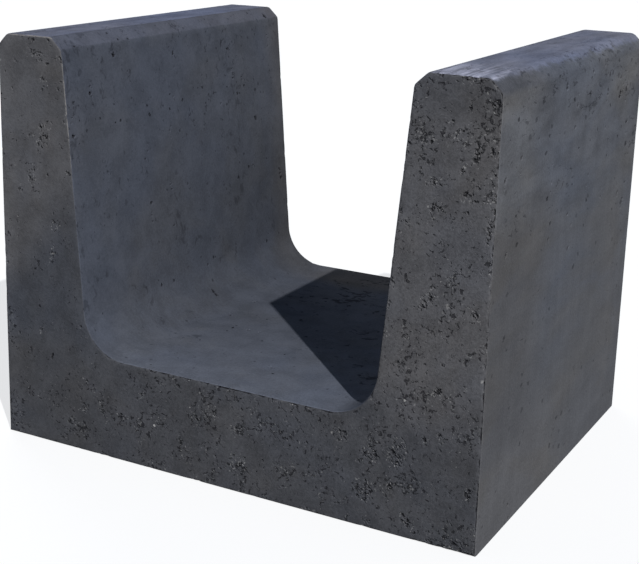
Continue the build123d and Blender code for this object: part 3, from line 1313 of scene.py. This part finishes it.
def end_face_material(colours, groups, sizes):
    """Rough open skin: dark grey, darker low down, partly damp and partly painted shade, with coarse grain,
    pale flecks and deep pits.
    """
    skin = Skin("end_face_concrete", colours.end_face, colours, groups, shine=0.03)
    x, z = skin.x, skin.z
    clouds = skin.put("clouds", Scale=11.0)
    grain = skin.put("grain", Scale=330.0)
    base_top = sizes.base + 0.04
    base_full = sizes.base - 0.01
    on_base = remap(z, base_top, base_full, -0.06, -0.005)
    sparse = maths("MAXIMUM", remap(x, -0.22, -0.02, -0.06, 0.006), on_base)
    denser = product(remap(z, base_top, base_full, 0.0, 0.012), remap(x, -0.15, -0.06))
    spots = skin.put("spots", Scale=235.0, Amount=maths("ADD", sparse, denser))
    grit = skin.put("pores", Scale=150.0, Share=remap(x, -0.22, 0.10, 0.002, 0.010))["Pore"]
    skin.stain(clouds, 0.3, 0.3)
    end_face_stains_and_shade(skin, colours)
    grainy = remap(x, -0.20, -0.08, 0.38, 0.6)
    shade = total((off_middle(clouds["Shade"]), 0.4), (off_middle(grain["Shade"]), grainy))
    skin.gain(remap(shade, -0.14, 0.14, 0.74, 1.26))
    # Dark crumb spots: painted shade in holes too small to model
    skin.cover(colours.pit, product(spots["Spot"], 0.75))
    skin.cover(colours.fleck, product(spots["Fleck"], 0.45))
    skin.cover(colours.grit, grit)
    skin.mark(spots["Loose"])
    height = total((spots["Spot"], -1.0), (grain["Height"], 0.8))
    return skin.finish(height, 0.9 * MM, remap(grain["Shade"], 0.3, 0.7, 0.78, 0.95))


class CastBlock(bpy.types.Operator):
    """Cast the U-block: its rough mesh and its three concrete skins"""

    bl_idname = "object.cast_u_block"
    bl_label = "Cast U-block"

    def execute(self, context):
        scene = context.scene
        surface = casting_surface(scene.block_sizes, scene.block_relief)
        mesh = casting_mesh(PIECE, *surface)
        groups = {
            "clouds": cloud_group(), "grain": grain_group(), "spots": spot_group(),
            "pores": pore_group(), "marks": wear_group(),
        }
        for new_skin in (mould_face_material, channel_material, end_face_material):
            mesh.materials.append(new_skin(scene.block_colours, groups, scene.block_sizes))
        piece = bpy.data.objects.new(PIECE, mesh)
        scene.collection.objects.link(piece)
        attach(piece, BODY)
        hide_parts(NODE)
        return {"FINISHED"}


# Stage

FLOOR_REACH = 30.0
SENSOR_WIDTH = 36.0


def seen_rays(tree):
    """1 for a ray that shows the stage itself, straight or by reflection, and 0 for one that only lights."""
    path = add_node(tree, "ShaderNodeLightPath").outputs
    glossy = maths("MAXIMUM", path["Is Glossy Ray"], path["Is Transmission Ray"])
    return maths("MAXIMUM", path["Is Camera Ray"], glossy)


def floor_material(stage):
    """Plain floor that keeps the block's shadow, lifted to white where it is seen."""
    material, tree, shader = new_material("pale_floor")
    shader.inputs["Base Color"].default_value = rgba(stage.floor)
    shader.inputs["Roughness"].default_value = 0.9
    shader.inputs["Specular IOR Level"].default_value = 0.0
    shader.inputs["Emission Color"].default_value = WHITE
    join(shader.inputs, Emission_Strength=product(seen_rays(tree), stage.floor_glow))
    return material


def make_world(stage):
    """An even surround that is white where it is seen."""
    world = bpy.data.worlds.new("even_surround")
    world.use_nodes = True
    tree = world.node_tree
    tree.nodes.clear()
    tone = blend_colours(seen_rays(tree), rgba(stage.sky), WHITE)
    sky = add_node(tree, "ShaderNodeBackground", Color=tone)
    add_node(tree, "ShaderNodeOutputWorld", Surface=sky.outputs[0])
    return world


def add_lamp(scene, name, strength, softness, towards):
    """A far lamp that shines from that direction."""
    lamp = bpy.data.lights.new(name, "SUN")
    lamp.energy = strength
    lamp.angle = softness
    holder = bpy.data.objects.new(name, lamp)
    holder.rotation_mode = "QUATERNION"
    holder.rotation_quaternion = Vector(towards).to_track_quat("Z", "Y")
    scene.collection.objects.link(holder)


def add_floor(scene, stage):
    """A wide flat floor at the block's underside."""
    mesh = bpy.data.meshes.new("floor")
    corners = [(x * FLOOR_REACH, y * FLOOR_REACH, 0) for x, y in ((-1, -1), (1, -1), (1, 1), (-1, 1))]
    mesh.from_pydata(corners, [], [(0, 1, 2, 3)])
    mesh.materials.append(floor_material(stage))
    floor = bpy.data.objects.new("floor", mesh)
    scene.collection.objects.link(floor)


def add_camera(scene, stage):
    """The camera, turned by its heading, its look down and its roll."""
    azimuth, elevation = stage.camera_azimuth, stage.camera_elevation
    level = math.cos(elevation)
    back = Vector((math.sin(azimuth) * level, -math.cos(azimuth) * level, math.sin(elevation)))
    right = Matrix.Rotation(stage.camera_roll, 3, back) @ Vector((0, 0, 1)).cross(back).normalized()
    turned = Matrix((right, back.cross(right), back)).transposed()
    lens = bpy.data.cameras.new("camera")
    lens.sensor_width = SENSOR_WIDTH
    lens.lens = stage.focal_pixels / IMAGE_WIDTH * SENSOR_WIDTH
    lens.shift_x, lens.shift_y = stage.shift_x, stage.shift_y
    camera = bpy.data.objects.new("camera", lens)
    camera.matrix_world = Matrix.Translation(stage.camera_place) @ turned.to_4x4()
    scene.collection.objects.link(camera)
    scene.camera = camera


class SetStage(bpy.types.Operator):
    """Lay the floor, light the block and place the camera"""

    bl_idname = "scene.u_block_stage"
    bl_label = "Set stage"

    def execute(self, context):
        scene = context.scene
        stage = scene.block_stage
        scene.view_settings.view_transform = "Standard"
        scene.world = make_world(stage)
        add_floor(scene, stage)
        add_lamp(scene, "key", stage.key_strength, stage.key_softness, stage.key_towards)
        add_lamp(scene, "fill", stage.fill_strength, stage.fill_softness, stage.fill_towards)
        add_camera(scene, stage)
        return {"FINISHED"}


class BlockPanel(bpy.types.Panel):
    """Settings and buttons of the U-block"""

    bl_idname = "VIEW3D_PT_u_block"
    bl_label = "U-Block"
    bl_space_type = "VIEW_3D"
    bl_region_type = "UI"
    bl_category = "U-Block"

    def draw(self, context):
        for group in PROPERTY_GROUPS:
            box = self.layout.box()
            settings = getattr(context.scene, group)
            for key in settings.__annotations__:
                box.prop(settings, key)
        self.layout.operator(CastBlock.bl_idname)
        self.layout.operator(SetStage.bl_idname)


PROPERTY_GROUPS = {
    "block_sizes": BlockSizes,
    "block_relief": ReliefSettings,
    "block_colours": ConcreteColours,
    "block_stage": StageSettings,
}
CLASSES = (*PROPERTY_GROUPS.values(), CastBlock, SetStage, BlockPanel)


def register():
    for item in CLASSES:
        bpy.utils.register_class(item)
    for key, group in PROPERTY_GROUPS.items():
        setattr(bpy.types.Scene, key, PointerProperty(type=group))


def unregister():
    for key in PROPERTY_GROUPS:
        delattr(bpy.types.Scene, key)
    for item in reversed(CLASSES):
        bpy.utils.unregister_class(item)


def main():
    register()
    bpy.ops.object.cast_u_block()
    bpy.ops.scene.u_block_stage()


if __name__ == "__main__":
    main()
